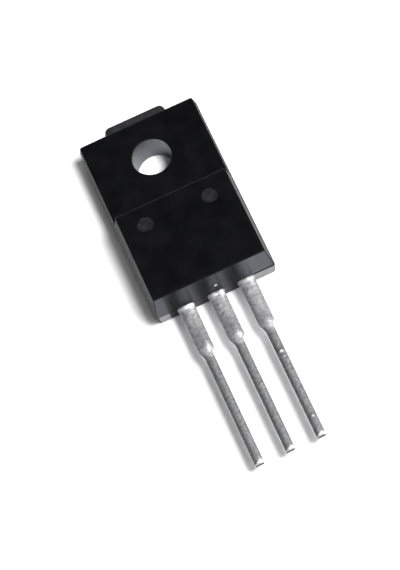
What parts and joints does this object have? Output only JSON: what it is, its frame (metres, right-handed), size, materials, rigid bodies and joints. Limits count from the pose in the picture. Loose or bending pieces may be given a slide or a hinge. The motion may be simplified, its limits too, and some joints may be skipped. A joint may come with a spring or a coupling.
{
  "type": "power transistor",
  "caption": "Fully moulded through-hole power transistor: black epoxy body with a mounting hole in its thin tab and a row of flat tinned leads.",
  "frame": {"origin": "on the back (heat-sink) face, on the axis of the mounting hole", "axes": "+X across the body, to the right when it is seen from the front with the leads down; +Y towards the free end of the tab, so the leads run towards -Y; +Z out of the front face"},
  "size_m": [0.0101, 0.0318, 0.0042],
  "materials": {
    "moulding": "black epoxy moulding compound, fine matte faces and smoother ends",
    "tinned_copper": "copper strip dipped in tin solder, mottled satin grey",
    "solder": "dull grey solder",
    "silicon": "polished dark grey silicon with a metal coat",
    "bond_wire": "bright drawn wire"
  },
  "bodies": {
    "root": {"moulded_body": "moulding", "collector_frame": "tinned_copper", "base_lead": "tinned_copper", "emitter_lead": "tinned_copper", "die_solder": "solder", "silicon_die": "silicon", "base_bond_wire": "bond_wire", "emitter_bond_wire": "bond_wire"}
  },
  "joints": []
}
